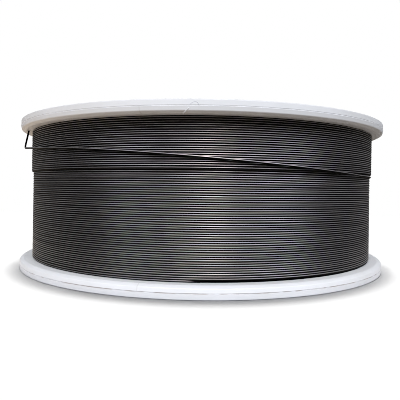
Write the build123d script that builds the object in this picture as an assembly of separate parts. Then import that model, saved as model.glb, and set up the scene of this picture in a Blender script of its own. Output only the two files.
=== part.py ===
from build123d import *
import math
import os

# Spool of flux-cored welding wire: a one-piece moulded plastic spool, standing on its lower
# flange, with the wire wound nearly to the rim and its end hooked through the upper flange.
# Millimetres, +Z up along the spool's axis, origin on the floor below the axis.
# Angles around the axis are in degrees from the front, which faces -Y, towards +X.

# Flanges
flange_diameter = 270.0
winding_width = 87.6
rim_thickness = 7.2
plate_thickness = 3.6
rim_wall = 3.6
rounding_sweep = 58.0
lower_parting_height = 3.0
upper_parting_height = 4.5
parting_step = 0.3
edge_chamfer = 0.9

# Radial ribs on the outer face of each flange
flange_rib_count = 24
flange_rib_thickness = 2.4
flange_rib_recess = 0.8

# Barrel, hub and the spokes between them
barrel_wall = 3.5
bore_diameter = 52.0
bore_chamfer = 1.0
hub_wall = 4.0
spoke_count = 8
spoke_thickness = 3.0
spoke_recess = 6.0

# Hole for the drive pin, in a boss on one of the spokes
drive_hole_diameter = 10.5
drive_hole_offset = 44.5
drive_hole_angle = 202.5
drive_boss_wall = 3.0

# Holes for the wire's end, just inside the upper flange's rim
tie_hole_diameter = 3.2
tie_hole_inset = 0.2
hook_hole_angle = -67.5
spare_hole_angle = -37.5

# Wire and winding
wire_diameter = 1.2
winding_depth = 42.5
seat_clearance = 0.1
fill_gap = 0.36
top_layer_width = 28.2

# Tail of the wire, which crosses the top layer and hooks into the flange
tail_clearance = 0.1
tail_drop = 21.7
tail_start_angle = 110.0
tail_climb_angle = 48.0
tail_bend_radius = 2.0
tail_end_length = 2.0
tail_side_count = 8
hook_lean_out = 2.8
hook_lean_angle = 1.0

# Sizes that follow from those above
flange_radius = flange_diameter / 2
rim_inner_radius = flange_radius - rim_wall
total_width = winding_width + 2 * rim_thickness
lower_inner_face = rim_thickness
upper_inner_face = rim_thickness + winding_width
upper_plate_face = upper_inner_face + plate_thickness
wire_radius = wire_diameter / 2
layer_height = wire_diameter * math.sin(math.pi / 3)
tie_hole_ring = rim_inner_radius - tie_hole_inset - tie_hole_diameter / 2
upper_layer_radius = tie_hole_ring - tie_hole_diameter / 2 - fill_gap
lower_layer_radius = upper_layer_radius - layer_height
winding_inner_radius = lower_layer_radius - winding_depth
layer_edge_height = upper_inner_face - top_layer_width
barrel_radius = winding_inner_radius - seat_clearance
barrel_inner_radius = barrel_radius - barrel_wall
bore_radius = bore_diameter / 2
hub_radius = bore_radius + hub_wall
spoke_bottom = spoke_recess
spoke_top = total_width - spoke_recess


def around_axis(radius, angle, height):
    """Point at a distance from the axis and an angle from the front."""
    turn = math.radians(angle)
    return Vector(radius * math.sin(turn), -radius * math.cos(turn), height)


def turned(outline):
    """Solid turned about the axis from a closed outline of edges in the XZ plane."""
    return revolve(make_face(outline), axis=Axis.Z)


def ring(outer_radius, inner_radius, bottom, top):
    """Plain tube around the axis."""
    corners = [(inner_radius, bottom), (outer_radius, bottom), (outer_radius, top), (inner_radius, top)]
    return turned(Plane.XZ * Polyline(*corners, close=True))


def radial_bar(angle, inner_radius, outer_radius, thickness, bottom, top):
    """Straight bar pointing away from the axis."""
    bar = Box(thickness, outer_radius - inner_radius, top - bottom)
    middle = around_axis((inner_radius + outer_radius) / 2, angle, (bottom + top) / 2)
    return Pos(*middle) * Rot(0, 0, angle) * bar


def make_flange(parting_height):
    """Flange with its outer face down: plate, ribs, rim with parting step and rounded corner."""
    rounding_reach = rim_thickness - parting_height
    rounding_radius = rounding_reach / (math.sqrt(2) * math.sin(math.radians(rounding_sweep / 2)))
    outer_wall = flange_radius - parting_step
    plate_outer_face = rim_thickness - plate_thickness
    rounding_start = (flange_radius - rounding_reach, rim_thickness)
    rounding_end = (flange_radius, parting_height)
    straight_part = Polyline(
        rounding_end,
        (outer_wall, parting_height),
        (outer_wall, edge_chamfer),
        (outer_wall - edge_chamfer, 0),
        (rim_inner_radius, 0),
        (rim_inner_radius, plate_outer_face),
        (barrel_inner_radius, plate_outer_face),
        (barrel_inner_radius, rim_thickness),
        rounding_start,
    )
    rounded_part = RadiusArc(rounding_start, rounding_end, rounding_radius)
    flange = turned(Plane.XZ * Curve([*straight_part.edges(), *rounded_part.edges()]))
    for index in range(flange_rib_count):
        flange += radial_bar(
            index * 360 / flange_rib_count,
            barrel_radius - barrel_wall / 2,
            rim_inner_radius + rim_wall / 2,
            flange_rib_thickness,
            flange_rib_recess,
            plate_outer_face + plate_thickness / 2,
        )
    return flange


def make_hub():
    """Hub tube, its bore chamfered at both ends."""
    outline = Polyline(
        (bore_radius, bore_chamfer),
        (bore_radius + bore_chamfer, 0),
        (hub_radius, 0),
        (hub_radius, total_width),
        (bore_radius + bore_chamfer, total_width),
        (bore_radius, total_width - bore_chamfer),
        close=True,
    )
    return turned(Plane.XZ * outline)


def make_spool():
    """One moulding: two flanges, barrel, hub, spokes and drive boss, with their holes."""
    lower_flange = make_flange(lower_parting_height)
    upper_flange = Pos(0, 0, total_width) * Rot(180, 0, 0) * make_flange(upper_parting_height)
    spool = lower_flange + upper_flange
    spool += ring(barrel_radius, barrel_inner_radius, 0, total_width)
    spool += make_hub()
    for index in range(spoke_count):
        spool += radial_bar(
            drive_hole_angle + index * 360 / spoke_count,
            hub_radius - hub_wall / 2,
            barrel_inner_radius + barrel_wall / 2,
            spoke_thickness,
            spoke_bottom,
            spoke_top,
        )
    drive_place = Pos(*around_axis(drive_hole_offset, drive_hole_angle, total_width / 2))
    drive_radius = drive_hole_diameter / 2
    spool += drive_place * Cylinder(drive_radius + drive_boss_wall, spoke_top - spoke_bottom)
    spool -= drive_place * Cylinder(drive_radius, total_width)
    for angle in (hook_hole_angle, spare_hole_angle):
        tie_place = Pos(*around_axis(tie_hole_ring, angle, upper_plate_face))
        spool -= tie_place * Cylinder(tie_hole_diameter / 2, 2 * plate_thickness)
    return spool


def make_winding():
    """All layers of wire as one turned solid, the top layer reaching only part of the width."""
    bottom = lower_inner_face + seat_clearance
    top = upper_inner_face - seat_clearance
    outline = Polyline(
        (winding_inner_radius, bottom),
        (lower_layer_radius, bottom),
        (lower_layer_radius, layer_edge_height),
        (upper_layer_radius, layer_edge_height),
        (upper_layer_radius, top),
        (winding_inner_radius, top),
        close=True,
    )
    return turned(Plane.XZ * outline)


def make_tail():
    """Last half turn of the wire, crossing the top layer in a tilted plane to its hook."""
    lying_radius = upper_layer_radius + wire_radius + tail_clearance
    front_height = upper_inner_face - tail_drop
    climb_height = layer_edge_height - wire_radius
    climb_reach = lying_radius * math.sin(math.radians(tail_climb_angle))
    slope = (front_height - climb_height) / climb_reach
    stretch = math.hypot(1, slope)
    strand_radius = lying_radius * stretch
    tail_plane = Plane(origin=(0, 0, front_height), x_dir=(1, 0, -slope), z_dir=(slope, 0, 1))

    def strand_point(radius, angle, centre=Vector(0, 0, 0)):
        """Point of the tilted plane, by its distance and angle around a centre."""
        return tail_plane.from_local_coords(centre + around_axis(radius, angle, 0))

    # From the lower layer the strand rises on to the top layer, along a slightly tighter arc.
    climb_span = math.radians(tail_start_angle - tail_climb_angle)
    centre_shift = layer_height / (1 - math.cos(climb_span))
    low_centre = around_axis(centre_shift, tail_climb_angle, 0)
    low_radius = strand_radius - centre_shift
    climb_point = strand_point(strand_radius, tail_climb_angle)
    low_arc = ThreePointArc(
        strand_point(low_radius, tail_start_angle, low_centre),
        strand_point(low_radius, (tail_start_angle + tail_climb_angle) / 2, low_centre),
        climb_point,
    )

    # The strand leaves the winding on a tangent, to the hook's corner outside the tie hole.
    corner_radius = (tie_hole_ring + hook_lean_out) * stretch
    corner_angle = hook_hole_angle - hook_lean_angle
    corner_point = strand_point(corner_radius, corner_angle)
    leave_angle = corner_angle + math.degrees(math.acos(strand_radius / corner_radius))
    leave_point = strand_point(strand_radius, leave_angle)
    high_arc = ThreePointArc(
        climb_point,
        strand_point(strand_radius, (tail_climb_angle + leave_angle) / 2),
        leave_point,
    )

    # The hooked leg leans inwards, through the middle of the hole in the flange's plate.
    hole_point = around_axis(tie_hole_ring, hook_hole_angle, upper_inner_face + plate_thickness / 2)
    leg_direction = (hole_point - corner_point).normalized()
    leg_end = hole_point + leg_direction * (plate_thickness / 2 + tail_end_length)
    hook = FilletPolyline(leave_point, corner_point, leg_end, radius=tail_bend_radius)

    path = Wire([*low_arc.edges(), *high_arc.edges(), *hook.edges()])
    section = RegularPolygon(wire_radius, tail_side_count, major_radius=False)
    return sweep(Plane(origin=path @ 0, z_dir=path % 0) * section, path=path)


parts = {
    "spool": make_spool(),
    "wire_winding": make_winding(),
    "wire_tail": make_tail(),
}

os.makedirs("parts", exist_ok=True)
for name, part in parts.items():
    part.label = name
    export_step(part, f"parts/{name}.step")
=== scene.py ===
import math

import bpy
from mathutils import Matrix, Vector


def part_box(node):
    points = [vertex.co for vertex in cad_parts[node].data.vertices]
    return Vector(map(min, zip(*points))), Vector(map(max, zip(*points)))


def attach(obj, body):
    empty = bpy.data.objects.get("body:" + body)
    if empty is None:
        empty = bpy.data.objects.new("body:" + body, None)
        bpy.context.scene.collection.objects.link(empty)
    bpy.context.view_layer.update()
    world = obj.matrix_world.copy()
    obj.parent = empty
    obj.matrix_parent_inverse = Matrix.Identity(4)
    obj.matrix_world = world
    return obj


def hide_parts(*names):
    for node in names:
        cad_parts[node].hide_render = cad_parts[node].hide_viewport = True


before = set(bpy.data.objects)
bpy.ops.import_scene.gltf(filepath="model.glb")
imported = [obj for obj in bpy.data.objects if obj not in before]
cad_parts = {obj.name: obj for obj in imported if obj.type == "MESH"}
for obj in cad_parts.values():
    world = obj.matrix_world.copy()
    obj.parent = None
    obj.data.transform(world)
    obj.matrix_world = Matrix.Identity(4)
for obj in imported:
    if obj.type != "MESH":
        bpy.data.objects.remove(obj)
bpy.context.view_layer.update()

# Spool of flux-cored welding wire, standing on its lower flange. Metres, +Z up along the
# spool's axis. Angles are in degrees from the front, which faces -Y, towards +X.

spool_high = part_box("spool")[1]
winding_low, winding_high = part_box("wire_winding")

MM = 0.001
SAME_PLACE = 1e-6

# Flanges
FLANGE_RADIUS = spool_high.x
TOTAL_WIDTH = spool_high.z
RIM_THICKNESS = 7.2 * MM
PLATE_THICKNESS = 3.6 * MM
RIM_WALL = 3.6 * MM
PARTING_HEIGHT = 3.4 * MM
WALL_DRAFT = 0.45 * MM
BEVEL_HEIGHT = 1.2 * MM
BEVEL_REACH = 3.0 * MM
BEVEL_ROUNDING = 0.4 * MM
PARTING_STEP = 0.15 * MM
PARTING_GROOVE = 0.3 * MM
EDGE_ROUNDING = 0.6 * MM
SMALL_ROUNDING = 0.45 * MM
FLANGE_RIB_COUNT = 24
FLANGE_RIB_THICKNESS = 2.4 * MM
FLANGE_RIB_RECESS = 0.8 * MM
TURNING_STEPS = 240
SPOOL_SMOOTHING = math.radians(32)

# Barrel, hub, spokes and holes
BARREL_RADIUS = 84.0 * MM
BARREL_WALL = 3.5 * MM
BORE_RADIUS = 26.0 * MM
BORE_CHAMFER = 1.0 * MM
HUB_RADIUS = 30.0 * MM
HUB_STEPS = 96
SPOKE_COUNT = 8
SPOKE_THICKNESS = 3.0 * MM
SPOKE_RECESS = 6.0 * MM
DRIVE_HOLE_RADIUS = 5.25 * MM
DRIVE_BOSS_RADIUS = 8.25 * MM
DRIVE_HOLE_OFFSET = 44.5 * MM
DRIVE_HOLE_ANGLE = 202.5
TIE_HOLE_RADIUS = 1.6 * MM
TIE_HOLE_RING = 129.6 * MM
HOOK_HOLE_ANGLE = -67.5
SPARE_HOLE_ANGLE = -37.5
HOLE_STEPS = 48

# Wire
WIRE_RADIUS = 0.6 * MM
PITCH = 2 * WIRE_RADIUS
LAYER_HEIGHT = PITCH * math.sin(math.pi / 3)
LOWER_INNER_FACE = RIM_THICKNESS
UPPER_INNER_FACE = TOTAL_WIDTH - RIM_THICKNESS
UPPER_LAYER_CENTRE = winding_high.x - WIRE_RADIUS
LOWER_LAYER_CENTRE = UPPER_LAYER_CENTRE - LAYER_HEIGHT
TOP_LAYER_WIDTH = 28.2 * MM
LAYER_EDGE_HEIGHT = UPPER_INNER_FACE - TOP_LAYER_WIDTH
WINDING_DEPTH = 42.5 * MM
STEPS_PER_TURN = 120
WIRE_ROUNDNESS = 4
STRAND_SMOOTHING = math.radians(50)
SIDE_WANDER = 0.09 * MM
DEPTH_WANDER = 0.05 * MM
LOWER_LAYER_PHASE = 0.4
TOP_LAYER_PHASE = 2.1
# Painted shade on the wire: the side tilted up by this slope stays lit, and the wire darkens
# between these two depths as it turns away from it
LIT_SIDE_SLOPE = 0.47
SHADE_START = 0.045
SHADE_FULL = 0.15

# Size of each swing that makes up the wander, and its swings per turn
WANDER_SWINGS = ((0.5, 1.31), (0.3, 2.77), (0.2, 0.17))

# Tail of the wire
TAIL_DROP = 21.7 * MM
TAIL_START_ANGLE = 110
TAIL_CLIMB_ANGLE = 48
TAIL_LOW_ANGLE = 66
TAIL_LEVEL_REACH = 98 * MM
TAIL_NESTING = 0.3 * MM
TAIL_BEND_RADIUS = 2.0 * MM
TAIL_END_LENGTH = 2.0 * MM
TAIL_CLEARANCE = 0.05 * MM
TAIL_STEPS = 140
TAIL_BEND_STEPS = 10
HOOK_LEAN_OUT = 2.8 * MM
HOOK_LEAN_ANGLE = 1.0
HOOK_RISE = 0.6 * MM

# Marks of moulding and handling
SLIDE_LINE_ANGLE = -13.9
SLIDE_COUNT = 4
BURR_RADIUS = 0.34 * MM
SCUFF_RADIUS = 0.18 * MM
MARK_ROUNDNESS = 1

# Camera, worked out from the photograph's outline of the flanges
IMAGE_SIZE = 400
FOCAL_LENGTH_PIXELS = 448.4
SENSOR_WIDTH = 36.0
CAMERA_DISTANCE = 360.6 * MM
CAMERA_HEIGHT = 57.05 * MM
CAMERA_ROLL = math.radians(0.785)
AXIS_PIXEL = (201.4, 187.6)

# Stage
FLOOR_RADIUS = 0.7
FLOOR_STEPS = 96
SOFTBOX_DISTANCE = 1.3
WIRE_LIGHT_ELEVATION = 51
WIRE_LIGHT_HALF_HEIGHT = 18
PIXEL_FILTER_WIDTH = 0.85


def around_axis(radius, angle, height):
    """Point at a distance from the axis and an angle from the front."""
    turn = math.radians(angle)
    return Vector((radius * math.sin(turn), -radius * math.cos(turn), height))


def eased(share):
    """Smooth way from 0 to 1, level at both ends."""
    return share * share * (3 - 2 * share)


# Modelling helpers

def only(piece):
    """Selects one object and makes it active."""
    bpy.ops.object.select_all(action="DESELECT")
    piece.select_set(True)
    bpy.context.view_layer.objects.active = piece


def pick(piece, mode, wanted):
    """Selects vertices or edges of the active piece by a test, and leaves it in edit mode."""
    bpy.ops.object.mode_set(mode="EDIT")
    bpy.ops.mesh.select_mode(type=mode)
    bpy.ops.mesh.select_all(action="DESELECT")
    bpy.ops.object.mode_set(mode="OBJECT")
    mesh = piece.data
    for vertex in mesh.vertices:
        vertex.select = mode == "VERT" and wanted(vertex.co)
    for edge in mesh.edges:
        ends = [mesh.vertices[i] for i in edge.vertices]
        if mode == "VERT":
            edge.select = all(end.select for end in ends)
        else:
            edge.select = wanted(ends[0].co, ends[1].co)
    bpy.ops.object.mode_set(mode="EDIT")


def apply_place():
    """Moves the place, turn and size of the selected object into its mesh."""
    bpy.ops.object.transform_apply(location=True, rotation=True, scale=True)


def new_object(name, data):
    """New object in the scene from a curve, a light or a camera."""
    piece = bpy.data.objects.new(name, data)
    bpy.context.scene.collection.objects.link(piece)
    return piece


def draw_outline(name, corners):
    """Closed outline in the XZ plane, by corners of radius, height, rounding and its steps."""
    bpy.ops.object.select_all(action="DESELECT")
    bpy.ops.mesh.primitive_plane_add(size=MM)
    piece = bpy.context.object
    piece.name = name
    bpy.ops.object.mode_set(mode="EDIT")
    bpy.ops.mesh.select_mode(type="VERT")
    bpy.ops.mesh.select_all(action="SELECT")
    bpy.ops.mesh.merge(type="CENTER")
    places = [Vector((corner[0], 0, corner[1])) for corner in corners]
    bpy.ops.transform.translate(value=places[0])
    for before, after in zip(places, places[1:]):
        bpy.ops.mesh.extrude_vertices_move(TRANSFORM_OT_translate={"value": after - before})
    ends = (places[0], places[-1])
    pick(piece, "VERT", lambda point: min((point - end).length for end in ends) < SAME_PLACE)
    bpy.ops.mesh.edge_face_add()
    for corner, place in zip(corners, places):
        if len(corner) > 2:
            pick(piece, "VERT", lambda point: (point - place).length < SAME_PLACE)
            bpy.ops.mesh.bevel(offset=corner[2], segments=corner[3], affect="VERTICES")
    return piece


def turn_outline(piece, steps):
    """Turns an outline once around the spool's axis into a closed solid."""
    bpy.ops.mesh.select_all(action="SELECT")
    bpy.ops.mesh.spin(steps=steps, angle=2 * math.pi, center=(0, 0, 0), axis=(0, 0, 1))
    bpy.ops.mesh.select_all(action="SELECT")
    bpy.ops.mesh.remove_doubles(threshold=SAME_PLACE)
    bpy.ops.mesh.normals_make_consistent(inside=False)
    bpy.ops.object.mode_set(mode="OBJECT")
    return piece


def radial_bar(name, inner_radius, outer_radius, thickness, bottom, top, rounding):
    """Bar along -Y from the axis outwards, its long edges rounded."""
    bpy.ops.object.select_all(action="DESELECT")
    middle = (0, -(inner_radius + outer_radius) / 2, (bottom + top) / 2)
    size = (thickness, outer_radius - inner_radius, top - bottom)
    bpy.ops.mesh.primitive_cube_add(size=1, location=middle, scale=size)
    apply_place()
    bar = bpy.context.object
    bar.name = name
    pick(bar, "EDGE", lambda start, end: abs(start.y - end.y) > 0.9 * size[1])
    bpy.ops.mesh.bevel(offset=rounding, segments=2, affect="EDGES")
    bpy.ops.object.mode_set(mode="OBJECT")
    return bar


def copies_around(bar, count, first_angle):
    """The bar and its copies, spaced evenly around the axis, as one object."""
    bars = [bar]
    for _ in range(1, count):
        only(bar)
        bpy.ops.object.duplicate()
        bars.append(bpy.context.object)
    for index, each in enumerate(bars):
        only(each)
        each.rotation_euler.z = math.radians(first_angle + index * 360 / count)
        apply_place()
    return join(bars)


def join(pieces):
    """One object from several, as their joined meshes."""
    only(pieces[0])
    for piece in pieces:
        piece.select_set(True)
    bpy.ops.object.join()
    return bpy.context.object


def combine(piece, tool, operation):
    """Fuses a tool shape with the piece, or cuts it away, and removes the tool."""
    only(piece)
    change = piece.modifiers.new("change", "BOOLEAN")
    change.operation = operation
    change.solver = "MANIFOLD"
    change.object = tool
    bpy.ops.object.modifier_apply(modifier=change.name)
    bpy.data.objects.remove(tool)


def round_bar(name, radius, place, height, rounding):
    """Upright round bar, with its end rims rounded."""
    bpy.ops.object.select_all(action="DESELECT")
    bpy.ops.mesh.primitive_cylinder_add(
        vertices=HOLE_STEPS, radius=radius, depth=height, location=place,
    )
    apply_place()
    bar = bpy.context.object
    bar.name = name
    if rounding:
        pick(bar, "EDGE", lambda start, end: abs(start.z - end.z) < height / 2)
        bpy.ops.mesh.bevel(offset=rounding, segments=2, affect="EDGES")
        bpy.ops.object.mode_set(mode="OBJECT")
    return bar


def lay_strand(name, points, radius, resolution):
    """Round strand along a chain of points, as a closed tube."""
    line = bpy.data.curves.new(name, "CURVE")
    line.dimensions = "3D"
    line.bevel_depth = radius
    line.bevel_resolution = resolution
    line.use_fill_caps = True
    spline = line.splines.new("POLY")
    spline.points.add(len(points) - 1)
    for knot, place in zip(spline.points, points):
        knot.co = (*place, 1)
    only(new_object(name, line))
    bpy.ops.object.convert(target="MESH")
    bpy.ops.object.mode_set(mode="EDIT")
    bpy.ops.mesh.select_all(action="SELECT")
    bpy.ops.mesh.remove_doubles(threshold=SAME_PLACE)
    bpy.ops.mesh.normals_make_consistent(inside=False)
    bpy.ops.object.mode_set(mode="OBJECT")
    bpy.ops.object.shade_smooth_by_angle(angle=STRAND_SMOOTHING)
    return bpy.context.object


def mark_points(piece, name, value_at):
    """Gives each point of a mesh a value that its material reads."""
    attribute = piece.data.attributes.new(name, "FLOAT", "POINT")
    for vertex, mark in zip(piece.data.vertices, attribute.data):
        mark.value = value_at(vertex)


# Spool

def flange_corners():
    """Outline of one flange, from the barrel's end round the rim to the inner face."""
    wall = FLANGE_RADIUS - PARTING_STEP
    plate = RIM_THICKNESS - PLATE_THICKNESS
    lip = FLANGE_RADIUS - RIM_WALL
    return [
        (BARREL_RADIUS - BARREL_WALL, 0, SMALL_ROUNDING, 2),
        (BARREL_RADIUS, 0, SMALL_ROUNDING, 2),
        (BARREL_RADIUS, plate, SMALL_ROUNDING, 2),
        (lip, plate, SMALL_ROUNDING, 2),
        (lip, 0, SMALL_ROUNDING, 2),
        (wall, 0, EDGE_ROUNDING, 4),
        (wall, PARTING_HEIGHT - PARTING_GROOVE),
        (wall - PARTING_GROOVE, PARTING_HEIGHT),
        (FLANGE_RADIUS, PARTING_HEIGHT + PARTING_GROOVE),
        (FLANGE_RADIUS - WALL_DRAFT, RIM_THICKNESS - BEVEL_HEIGHT, BEVEL_ROUNDING, 3),
        (FLANGE_RADIUS - BEVEL_REACH, RIM_THICKNESS, BEVEL_ROUNDING, 3),
        (BARREL_RADIUS, RIM_THICKNESS),
    ]


def turned_over(corners):
    """The same outline at the spool's upper end, carrying on from the lower one."""
    return [(corner[0], TOTAL_WIDTH - corner[1], *corner[2:]) for corner in reversed(corners)]


def make_hub():
    """Hub with its chamfered bore, the spokes around it and the boss for the drive pin."""
    corners = [
        (BORE_RADIUS, BORE_CHAMFER),
        (BORE_RADIUS + BORE_CHAMFER, 0),
        (HUB_RADIUS, 0, SMALL_ROUNDING, 2),
    ]
    hub = turn_outline(draw_outline("hub", corners + turned_over(corners)), HUB_STEPS)
    spoke = radial_bar(
        "spoke",
        (BORE_RADIUS + HUB_RADIUS) / 2,
        BARREL_RADIUS - BARREL_WALL / 2,
        SPOKE_THICKNESS,
        SPOKE_RECESS,
        TOTAL_WIDTH - SPOKE_RECESS,
        2 * SMALL_ROUNDING,
    )
    combine(hub, copies_around(spoke, SPOKE_COUNT, DRIVE_HOLE_ANGLE), "UNION")
    place = around_axis(DRIVE_HOLE_OFFSET, DRIVE_HOLE_ANGLE, TOTAL_WIDTH / 2)
    boss_height = TOTAL_WIDTH - 2 * SPOKE_RECESS
    combine(hub, round_bar("boss", DRIVE_BOSS_RADIUS, place, boss_height, SMALL_ROUNDING), "UNION")
    combine(hub, round_bar("drive_hole", DRIVE_HOLE_RADIUS, place, TOTAL_WIDTH, 0), "DIFFERENCE")
    return hub


def make_flange_ribs(name, bottom, top):
    """The radial ribs of one flange, from the barrel to the rim."""
    rib = radial_bar(
        name,
        BARREL_RADIUS - BARREL_WALL / 2,
        FLANGE_RADIUS - RIM_WALL / 2,
        FLANGE_RIB_THICKNESS,
        bottom,
        top,
        SMALL_ROUNDING,
    )
    return copies_around(rib, FLANGE_RIB_COUNT, 0)


def make_spool():
    """The whole moulding: flanges and barrel, hub, spokes, boss and ribs, with their holes."""
    corners = flange_corners()
    outline = draw_outline("spool_moulding", corners + turned_over(corners))
    spool = turn_outline(outline, TURNING_STEPS)
    rib_foot = RIM_THICKNESS - PLATE_THICKNESS / 2
    rib_heights = {
        "lower_ribs": (FLANGE_RIB_RECESS, rib_foot),
        "upper_ribs": (TOTAL_WIDTH - rib_foot, TOTAL_WIDTH - FLANGE_RIB_RECESS),
    }
    for name, (bottom, top) in rib_heights.items():
        combine(spool, make_flange_ribs(name, bottom, top), "UNION")
    combine(spool, make_hub(), "UNION")
    for angle in (HOOK_HOLE_ANGLE, SPARE_HOLE_ANGLE):
        place = around_axis(TIE_HOLE_RING, angle, UPPER_INNER_FACE + PLATE_THICKNESS)
        tie_hole = round_bar("tie_hole", TIE_HOLE_RADIUS, place, 2 * PLATE_THICKNESS, 0)
        combine(spool, tie_hole, "DIFFERENCE")
    only(spool)
    bpy.ops.object.shade_smooth_by_angle(angle=SPOOL_SMOOTHING)
    spool = join([spool, *make_rim_marks()])
    shading = spool.modifiers.new("flat_faces_stay_flat", "WEIGHTED_NORMAL")
    shading.keep_sharp = True
    bpy.ops.object.modifier_apply(modifier=shading.name)
    return spool


def make_rim_marks():
    """A burr across the upper rim's bevel and the grey scuff beside it."""
    burr = lay_strand("rim_burr", [
        around_axis(132.4 * MM, -4.15, 94.9 * MM),
        around_axis(133.1 * MM, -3.95, 95.2 * MM),
        around_axis(134.4 * MM, -3.5, 96.0 * MM),
        around_axis(134.75 * MM, -3.0, 97.0 * MM),
        around_axis(134.5 * MM, -2.85, 97.7 * MM),
    ], BURR_RADIUS, MARK_ROUNDNESS)
    scuff = lay_strand("rim_scuff", [
        around_axis(134.75 * MM, -2.8, 98.7 * MM),
        around_axis(134.75 * MM, -2.2, 100.0 * MM),
        around_axis(134.75 * MM, -1.5, 100.5 * MM),
        around_axis(134.75 * MM, -1.0, 99.8 * MM),
        around_axis(134.75 * MM, -0.65, 98.2 * MM),
    ], SCUFF_RADIUS, MARK_ROUNDNESS)
    mark_points(scuff, "scuffed", lambda vertex: 1)
    return [burr, scuff]


# Wire

def wander(travelled, phase):
    """Slow, uneven swing between -1 and 1 along the wire, different on neighbouring turns."""
    swing = 0
    for order, (size, pace) in enumerate(WANDER_SWINGS, start=1):
        swing += size * math.sin(2 * math.pi * pace * travelled + order * phase)
    return swing


def coil(radius, first_height, last_height, last_angle, phase):
    """Points of closely wound turns up to an angle; in front the wire runs from right to left."""
    turns = abs(last_height - first_height) / PITCH
    count = round(turns * STEPS_PER_TURN)
    points = []
    for step in range(count + 1):
        share = step / count
        travelled = share * turns
        height = first_height + share * (last_height - first_height)
        points.append(around_axis(
            radius + DEPTH_WANDER * wander(travelled, phase),
            last_angle + 360 * (turns - travelled),
            height + SIDE_WANDER * wander(travelled, phase + 1),
        ))
    return points


def turned_away(vertex):
    """How far a point turns from the wire's lit upper side, which sets its painted shade."""
    outward = Vector((vertex.co.x, vertex.co.y, 0)).normalized()
    lit_side = (outward + Vector((0, 0, LIT_SIDE_SLOPE))).normalized()
    return 1 - vertex.normal.dot(lit_side)


def lay_wire(name, points):
    """Strand of the wire, each point marked with how far it turns from the lit upper side, for its
    painted shade.
    """
    wire = lay_strand(name, points, WIRE_RADIUS, WIRE_ROUNDNESS)
    mark_points(wire, "groove_shade", turned_away)
    return wire


def make_lower_layer():
    """The last full layer, wound from the lower flange to just under the top layer."""
    bottom = LOWER_INNER_FACE + WIRE_RADIUS
    top = LAYER_EDGE_HEIGHT + 2 * PITCH
    return lay_wire("lower_layer", coil(LOWER_LAYER_CENTRE, bottom, top, 0, LOWER_LAYER_PHASE))


def tail_height(x):
    """Height of the tail, which falls to the right and runs level round the side."""
    lying = UPPER_LAYER_CENTRE + PITCH
    reach = lying * math.sin(math.radians(TAIL_CLIMB_ANGLE))
    front = UPPER_INNER_FACE - TAIL_DROP
    slope = (front - LAYER_EDGE_HEIGHT + WIRE_RADIUS) / reach
    return front - slope * min(x, TAIL_LEVEL_REACH)


def tail_radius(angle):
    """The strand lies on the lower layer at its start and climbs on to the top layer."""
    span = TAIL_LOW_ANGLE - TAIL_CLIMB_ANGLE
    share = min(max((angle - TAIL_CLIMB_ANGLE) / span, 0), 1)
    return UPPER_LAYER_CENTRE + PITCH + TAIL_CLEARANCE - (PITCH + TAIL_NESTING) * eased(share)


def tail_point(radius, angle):
    """Point of the tail at a distance from the axis and an angle from the front."""
    flat = around_axis(radius, angle, 0)
    return Vector((flat.x, flat.y, tail_height(flat.x)))


def make_top_layer():
    """The top layer, wound down from the upper flange; its last half turn sinks to the tail."""
    last_angle = TAIL_START_ANGLE + 180
    first_height = UPPER_INNER_FACE - WIRE_RADIUS
    last_height = LAYER_EDGE_HEIGHT + WIRE_RADIUS
    points = coil(UPPER_LAYER_CENTRE, first_height, last_height, last_angle, TOP_LAYER_PHASE)
    end = tail_point(tail_radius(TAIL_START_ANGLE), TAIL_START_ANGLE)
    end_radius = math.hypot(end.x, end.y)
    steps = STEPS_PER_TURN // 2
    for step in range(1, steps + 1):
        share = step / steps
        radius = UPPER_LAYER_CENTRE + eased(share) * (end_radius - UPPER_LAYER_CENTRE)
        height = last_height + eased(share) * (end.z - last_height)
        points.append(around_axis(radius, last_angle - 180 * share, height))
    return lay_wire("top_layer", points)


def make_tail():
    """Last half turn of the wire, across the top layer to its hook in the upper flange."""
    corner_angle = HOOK_HOLE_ANGLE - HOOK_LEAN_ANGLE
    corner_radius = TIE_HOLE_RING + HOOK_LEAN_OUT
    corner = tail_point(corner_radius, corner_angle) + Vector((0, 0, HOOK_RISE))
    leave_angle = corner_angle + math.degrees(math.acos(tail_radius(corner_angle) / corner_radius))
    points = []
    for step in range(TAIL_STEPS + 1):
        angle = TAIL_START_ANGLE + (leave_angle - TAIL_START_ANGLE) * step / TAIL_STEPS
        points.append(tail_point(tail_radius(angle), angle))
    hole = around_axis(TIE_HOLE_RING, HOOK_HOLE_ANGLE, UPPER_INNER_FACE + PLATE_THICKNESS / 2)
    run = (corner - points[-1]).normalized()
    leg = (hole - corner).normalized()
    half_turn = run.angle(leg) / 2
    inward = (leg - run).normalized()
    along = (run + leg).normalized()
    centre = corner + inward * (TAIL_BEND_RADIUS / math.cos(half_turn))
    for step in range(TAIL_BEND_STEPS + 1):
        turn = half_turn * (2 * step / TAIL_BEND_STEPS - 1)
        outwards = along * math.sin(turn) - inward * math.cos(turn)
        points.append(centre + TAIL_BEND_RADIUS * outwards)
    points.append(hole + leg * (PLATE_THICKNESS / 2 + TAIL_END_LENGTH))
    return lay_wire("wire_tail_strand", points)


def make_under_layers():
    """The layers below, seen only through gaps between the turns above them."""
    inner = winding_high.x - LAYER_HEIGHT - WINDING_DEPTH
    bottom = winding_low.z
    top = winding_high.z
    edge = LAYER_EDGE_HEIGHT + WIRE_RADIUS
    outline = draw_outline("under_layers", [
        (inner, bottom),
        (LOWER_LAYER_CENTRE, bottom),
        (LOWER_LAYER_CENTRE, edge),
        (UPPER_LAYER_CENTRE, edge),
        (UPPER_LAYER_CENTRE, top),
        (inner, top),
    ])
    under_layers = turn_outline(outline, STEPS_PER_TURN)
    # Painted shade: every point of the layers below is marked as fully shaded, so they show black
    # through the gaps
    mark_points(under_layers, "groove_shade", lambda vertex: 1)
    return under_layers


# Materials

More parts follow.
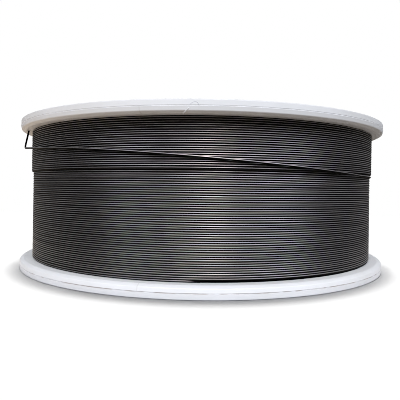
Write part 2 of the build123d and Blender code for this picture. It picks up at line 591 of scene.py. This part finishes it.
def add_node(tree, kind, inputs=None, **settings):
    """Adds a shader node with its settings; each input is a value or an output to link."""
    node = tree.nodes.new(kind)
    for name, value in settings.items():
        setattr(node, name, value)
    for name, value in (inputs or {}).items():
        if isinstance(value, bpy.types.NodeSocket):
            tree.links.new(value, node.inputs[name])
        else:
            node.inputs[name].default_value = value
    return node


def math_node(tree, operation, *values):
    """Result of a Math node on values or outputs."""
    node = add_node(tree, "ShaderNodeMath", dict(enumerate(values)), operation=operation)
    return node.outputs[0]


def mix_colours(tree, share, first, second, blend="MIX"):
    """The first colour, mixed with a share of the second."""
    colours = {0: share, 6: first, 7: second}
    node = add_node(tree, "ShaderNodeMix", colours, data_type="RGBA", blend_type=blend)
    return node.outputs[2]


def spread(tree, value, low, high, new_low, new_high):
    """The value, moved from one range to another and held there."""
    ranges = {0: value, 1: low, 2: high, 3: new_low, 4: new_high}
    return add_node(tree, "ShaderNodeMapRange", ranges).outputs[0]


def new_group(name, inputs, outputs):
    """Empty node group with named sockets, as its tree and its two end nodes."""
    tree = bpy.data.node_groups.new(name, "ShaderNodeTree")
    for socket, kind in inputs.items():
        tree.interface.new_socket(socket, in_out="INPUT", socket_type=kind)
    for socket, kind in outputs.items():
        tree.interface.new_socket(socket, in_out="OUTPUT", socket_type=kind)
    return tree, tree.nodes.new("NodeGroupInput"), tree.nodes.new("NodeGroupOutput")


def make_mottle():
    """Uneven tone: two colours that run into each other in soft patches."""
    tree, given, result = new_group(
        "mottled_tone",
        {
            "Place": "NodeSocketVector",
            "Scale": "NodeSocketFloat",
            "Light": "NodeSocketColor",
            "Dark": "NodeSocketColor",
        },
        {"Colour": "NodeSocketColor", "Share": "NodeSocketFloat"},
    )
    noise = add_node(tree, "ShaderNodeTexNoise", {
        "Vector": given.outputs["Place"],
        "Scale": given.outputs["Scale"],
        "Detail": 3.0,
        "Roughness": 0.55,
    })
    share = spread(tree, noise.outputs["Fac"], 0.3, 0.7, 0.0, 1.0)
    colour = mix_colours(tree, share, given.outputs["Light"], given.outputs["Dark"])
    tree.links.new(colour, result.inputs["Colour"])
    tree.links.new(share, result.inputs["Share"])
    return tree


def make_grain():
    """Fine relief of the surface, as a height."""
    tree, given, result = new_group(
        "fine_grain",
        {"Place": "NodeSocketVector", "Scale": "NodeSocketFloat", "Depth": "NodeSocketFloat"},
        {"Height": "NodeSocketFloat"},
    )
    noise = add_node(tree, "ShaderNodeTexNoise", {
        "Vector": given.outputs["Place"],
        "Scale": given.outputs["Scale"],
        "Detail": 2.0,
    })
    height = math_node(tree, "MULTIPLY", noise.outputs["Fac"], given.outputs["Depth"])
    tree.links.new(height, result.inputs["Height"])
    return tree


def place_group(tree, group, inputs):
    """Places a shared effect in a material, with its own values."""
    return add_node(tree, "ShaderNodeGroup", inputs, node_tree=group)


def new_material(name):
    """New material, as itself, its node tree and its shader."""
    material = bpy.data.materials.new(name)
    material.use_nodes = True
    tree = material.node_tree
    return material, tree, tree.nodes["Principled BSDF"]


def object_place(tree, stretch=(1, 1, 1)):
    """Place on the piece, in its own coordinates, stretched along the axes."""
    coordinates = add_node(tree, "ShaderNodeTexCoord")
    mapping = add_node(tree, "ShaderNodeMapping", {
        "Vector": coordinates.outputs["Object"],
        "Scale": stretch,
    })
    return mapping.outputs["Vector"]


def make_plastic(mottle, grain):
    """White moulded plastic, half gloss, with slide lines, painted shade in a crease and dulled
    patches.
    """
    material, tree, shader = new_material("white_spool_plastic")
    place = object_place(tree)
    tone = place_group(tree, mottle, {
        "Place": place,
        "Scale": 38.0,
        "Light": (0.87, 0.865, 0.885, 1),
        "Dark": (0.82, 0.815, 0.82, 1),
    })
    axes = add_node(tree, "ShaderNodeSeparateXYZ", {0: place})
    across = axes.outputs["X"]
    forward = math_node(tree, "MULTIPLY", axes.outputs["Y"], -1.0)
    height = axes.outputs["Z"]
    across_squared = math_node(tree, "MULTIPLY", across, across)
    forward_squared = math_node(tree, "MULTIPLY", forward, forward)
    radius = math_node(tree, "SQRT", math_node(tree, "ADD", across_squared, forward_squared))
    on_rim = math_node(tree, "GREATER_THAN", radius, FLANGE_RADIUS - RIM_WALL)

    # Painted shade in the lower rim's parting crease, brownish and broken into dashes
    crease_gap = math_node(tree, "ABSOLUTE", math_node(tree, "SUBTRACT", height, PARTING_HEIGHT))
    crease = spread(tree, crease_gap, 0.1 * MM, 0.45 * MM, 1.0, 0.0)
    dashes = add_node(tree, "ShaderNodeTexNoise", {"Vector": place, "Scale": 160.0, "Detail": 1.0})
    dash = spread(tree, dashes.outputs["Fac"], 0.42, 0.62, 0.0, 0.6)
    crease_shade = math_node(tree, "MULTIPLY", math_node(tree, "MULTIPLY", crease, dash), on_rim)
    crease_shaded = mix_colours(tree, crease_shade, tone.outputs["Colour"], (0.42, 0.34, 0.30, 1))

    # The grey scuff on the upper rim
    scuffed = add_node(tree, "ShaderNodeAttribute", attribute_name="scuffed")
    marked = mix_colours(tree, scuffed.outputs["Fac"], crease_shaded, (0.62, 0.62, 0.66, 1))

    # Fine lines that the mould's slides left across the rims, between the two parting lines
    angle = math_node(tree, "ARCTAN2", across, forward)
    first_line = math.radians(SLIDE_LINE_ANGLE)
    between = math.radians(360 / SLIDE_COUNT)
    past_first = math_node(tree, "SUBTRACT", angle, first_line)
    off_line = math_node(tree, "PINGPONG", past_first, between / 2)
    line = spread(tree, off_line, 0.0012, 0.0030, 1.0, 0.0)
    off_middle = math_node(tree, "ABSOLUTE", math_node(tree, "SUBTRACT", height, TOTAL_WIDTH / 2))
    inside = math_node(tree, "LESS_THAN", off_middle, TOTAL_WIDTH / 2 - PARTING_HEIGHT)
    slide_line = math_node(tree, "MULTIPLY", math_node(tree, "MULTIPLY", line, inside), on_rim)
    faint_line = math_node(tree, "MULTIPLY", slide_line, 0.25)
    lined = mix_colours(tree, faint_line, marked, (0.55, 0.52, 0.50, 1))
    tree.links.new(lined, shader.inputs["Base Color"])

    # Handling dulls the gloss in patches, and the crease's painted shade is rougher too
    dulled = spread(tree, tone.outputs["Share"], 0.0, 1.0, 0.34, 0.46)
    roughness = math_node(tree, "ADD", dulled, math_node(tree, "MULTIPLY", crease_shade, 0.3))
    tree.links.new(roughness, shader.inputs["Roughness"])

    # Moulded grain, slow unevenness and the raised slide lines
    moulded_grain = place_group(tree, grain, {"Place": place, "Scale": 700.0, "Depth": 0.02})
    unevenness = place_group(tree, grain, {"Place": place, "Scale": 55.0, "Depth": 0.30})
    heights = math_node(tree, "ADD", moulded_grain.outputs["Height"], unevenness.outputs["Height"])
    raised = math_node(tree, "ADD", heights, math_node(tree, "MULTIPLY", slide_line, 0.08))
    bump = add_node(tree, "ShaderNodeBump", {
        "Strength": 1.0,
        "Distance": 0.5 * MM,
        "Height": raised,
    })
    tree.links.new(bump.outputs["Normal"], shader.inputs["Normal"])
    shader.inputs["IOR"].default_value = 1.49
    return material


def make_wire_steel(mottle):
    """Dark drawn steel wire, each turn with its own tone and gloss, with painted shade between the
    turns and under them.
    """
    material, tree, shader = new_material("dark_drawn_wire")
    tone = place_group(tree, mottle, {
        "Place": object_place(tree, (7, 7, 700)),
        "Scale": 1.0,
        "Light": (0.56, 0.555, 0.56, 1),
        "Dark": (0.31, 0.31, 0.32, 1),
    })
    streaks = place_group(tree, mottle, {
        "Place": object_place(tree, (55, 55, 700)),
        "Scale": 1.0,
        "Light": (1.0, 0.99, 0.97, 1),
        "Dark": (0.70, 0.71, 0.73, 1),
    })
    drawn = mix_colours(tree, 1.0, tone.outputs["Colour"], streaks.outputs["Colour"], "MULTIPLY")
    # Painted shade: near black and less metallic where the wire turns away from its lit upper side
    groove_shade = add_node(tree, "ShaderNodeAttribute", attribute_name="groove_shade")
    painted_shade = spread(tree, groove_shade.outputs["Fac"], SHADE_START, SHADE_FULL, 0.0, 1.0)
    shaded_colour = mix_colours(tree, painted_shade, drawn, (0.003, 0.003, 0.003, 1))
    tree.links.new(shaded_colour, shader.inputs["Base Color"])
    metal_outside_shade = spread(tree, painted_shade, 0.0, 1.0, 1.0, 0.25)
    tree.links.new(metal_outside_shade, shader.inputs["Metallic"])
    shader.inputs["Specular IOR Level"].default_value = 0.0
    roughness = spread(tree, tone.outputs["Share"], 0.0, 1.0, 0.30, 0.40)
    tree.links.new(roughness, shader.inputs["Roughness"])
    return material


# Stage, light and camera

def make_floor():
    """Pale floor: white to the camera; to the light, a warm table with painted light, brighter to
    the left and paler close to the spool.
    """
    bpy.ops.object.select_all(action="DESELECT")
    bpy.ops.mesh.primitive_circle_add(vertices=FLOOR_STEPS, radius=FLOOR_RADIUS, fill_type="NGON")
    floor = bpy.context.object
    floor.name = "studio_floor"
    material, tree, shader = new_material("pale_floor")
    place = object_place(tree)
    axes = add_node(tree, "ShaderNodeSeparateXYZ", {0: place})
    # Painted light: the floor throws back more warm light on the left
    left_light_share = spread(tree, axes.outputs["X"], 0.05, -0.25, 0.0, 1.0)
    lit_table = mix_colours(tree, left_light_share, (0.17, 0.145, 0.115, 1), (0.60, 0.49, 0.37, 1))
    distance = add_node(tree, "ShaderNodeVectorMath", {0: place}, operation="LENGTH")
    away = distance.outputs["Value"]
    # Painted light: paler close to the spool, so more light is thrown back on the lower rim
    near_glow_share = spread(tree, away, FLANGE_RADIUS + 5 * MM, FLANGE_RADIUS + 40 * MM, 1.0, 0.0)
    thrown_back = mix_colours(tree, near_glow_share, lit_table, (0.85, 0.83, 0.82, 1))
    path = add_node(tree, "ShaderNodeLightPath")
    seen = mix_colours(tree, path.outputs["Is Camera Ray"], thrown_back, (0.92, 0.92, 0.92, 1))
    tree.links.new(seen, shader.inputs["Base Color"])
    shader.inputs["Roughness"].default_value = 1.0
    shader.inputs["Specular IOR Level"].default_value = 0.0
    floor.data.materials.append(material)
    return floor


def add_softbox(name, azimuth, elevation, half_width, half_height, brightness, colour):
    """Area light that faces the spool, by the angles of its middle and from there to its edges."""
    rise = math.radians(elevation)
    reach = SOFTBOX_DISTANCE * math.cos(rise)
    place = around_axis(reach, azimuth, SOFTBOX_DISTANCE * math.sin(rise))
    light = bpy.data.lights.new(name, "AREA")
    light.shape = "RECTANGLE"
    light.size = 2 * SOFTBOX_DISTANCE * math.tan(math.radians(half_width)) * math.cos(rise)
    light.size_y = 2 * SOFTBOX_DISTANCE * math.tan(math.radians(half_height))
    light.energy = brightness * math.pi * light.size * light.size_y
    light.color = colour
    lamp = new_object(name, light)
    lamp.location = place + Vector((0, 0, TOTAL_WIDTH / 2))
    lamp.rotation_euler = (-place).to_track_quat("-Z", "Y").to_euler()
    return lamp


def add_overhead_light(name, energy, spread_angle, tilt):
    """Wide light from above, tilted about the picture's horizontal: from the front if positive."""
    light = bpy.data.lights.new(name, "SUN")
    light.energy = energy
    light.angle = math.radians(spread_angle)
    lamp = new_object(name, light)
    lamp.rotation_euler = (math.radians(tilt), 0, 0)
    return lamp


def link_lights(name, lamps, pieces):
    """Keeps lamps on these pieces alone."""
    receivers = bpy.data.collections.new(name)
    for piece in pieces:
        receivers.objects.link(piece)
    for lamp in lamps:
        lamp.light_linking.receiver_collection = receivers


def make_room():
    """White backdrop for the camera; for the light, a dim room, darkest in front and above."""
    world = bpy.data.worlds.new("studio")
    bpy.context.scene.world = world
    world.use_nodes = True
    tree = world.node_tree
    direction = add_node(tree, "ShaderNodeTexCoord")
    axes = add_node(tree, "ShaderNodeSeparateXYZ", {0: direction.outputs["Generated"]})
    dim_in_front = spread(tree, axes.outputs["Y"], -0.85, -0.25, 0.03, 0.27)
    dim_above = spread(tree, axes.outputs["Z"], 0.35, 0.65, 1.0, 0.15)
    room = tree.nodes["Background"]
    strength = math_node(tree, "MULTIPLY", dim_in_front, dim_above)
    tree.links.new(strength, room.inputs["Strength"])
    room.inputs["Color"].default_value = (1, 1, 1, 1)
    backdrop = add_node(tree, "ShaderNodeBackground", {"Color": (1, 1, 1, 1)})
    path = add_node(tree, "ShaderNodeLightPath")
    shown = add_node(tree, "ShaderNodeMixShader", {
        0: path.outputs["Is Camera Ray"],
        1: room.outputs[0],
        2: backdrop.outputs[0],
    })
    tree.links.new(shown.outputs[0], tree.nodes["World Output"].inputs["Surface"])


def light_stage(floor, spool, wires):
    """Lights for the wire, the spool and the floor, each kept on its own pieces."""
    make_room()
    warm = (1.0, 0.83, 0.68)
    plain = (0.87, 0.84, 1.0)
    cool = (0.92, 0.88, 1.0)
    blue = (0.82, 0.89, 1.0)

    # Softboxes for the wire: azimuth, half width, brightness and colour
    wire_softboxes = {
        "front_softbox": (9, 10, 5.8, warm),
        "wide_softbox": (5, 26, 2.6, plain),
        "left_softbox": (-52, 22, 2.2, cool),
        "right_softbox": (62, 26, 3.5, cool),
        "thin_strip": (-17, 1, 5.5, warm),
        "back_softbox": (195, 30, 2.7, cool),
    }
    wire_lights = []
    for name, (azimuth, half_width, brightness, colour) in wire_softboxes.items():
        wire_lights.append(add_softbox(
            name,
            azimuth,
            WIRE_LIGHT_ELEVATION,
            half_width,
            WIRE_LIGHT_HALF_HEIGHT,
            brightness,
            colour,
        ))
    link_lights("wire_light", wire_lights, wires)

    # Light from above and low fills for the spool; the back fill would glare on the rims
    overhead = add_overhead_light("spool_overhead", 1.85, 40, 30)
    front_fill = add_softbox("front_fill", 6, 26, 65, 10, 3.5, blue)
    back_fill = add_softbox("back_fill", 180, 10, 60, 10, 4.0, blue)
    back_fill.visible_glossy = False
    link_lights("spool_light", [overhead, front_fill, back_fill], [spool])

    # Light for the floor, which casts the spool's shadow to the front
    link_lights("floor_light", [add_overhead_light("floor_overhead", 3.3, 10, -4.5)], [floor])


def place_camera():
    """The photograph's camera, with plain colours and its sharp pixels."""
    bpy.context.scene.view_settings.view_transform = "Standard"
    bpy.context.scene.cycles.filter_width = PIXEL_FILTER_WIDTH
    lens = bpy.data.cameras.new("photo_camera")
    lens.sensor_width = SENSOR_WIDTH
    lens.lens = FOCAL_LENGTH_PIXELS / IMAGE_SIZE * SENSOR_WIDTH
    lens.shift_x = (IMAGE_SIZE / 2 - AXIS_PIXEL[0]) / IMAGE_SIZE
    lens.shift_y = (AXIS_PIXEL[1] - IMAGE_SIZE / 2) / IMAGE_SIZE
    lens.clip_start = 10 * MM
    camera = new_object("photo_camera", lens)
    camera.location = (0, -CAMERA_DISTANCE, CAMERA_HEIGHT)
    camera.rotation_euler = (math.pi / 2, -CAMERA_ROLL, 0)
    bpy.context.scene.camera = camera


def finish_piece(piece, material, node):
    """Gives a piece its material, attaches it to the root body and hides the node that it
    replaces.
    """
    piece.data.materials.clear()
    piece.data.materials.append(material)
    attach(piece, "root")
    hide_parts(node)


mottle_group = make_mottle()
grain_group = make_grain()
plastic = make_plastic(mottle_group, grain_group)
steel = make_wire_steel(mottle_group)
spool_moulding = make_spool()
winding = [make_under_layers(), make_lower_layer(), make_top_layer()]
tail = make_tail()
finish_piece(spool_moulding, plastic, "spool")
for layer in winding:
    finish_piece(layer, steel, "wire_winding")
finish_piece(tail, steel, "wire_tail")
light_stage(make_floor(), spool_moulding, [*winding, tail])
place_camera()
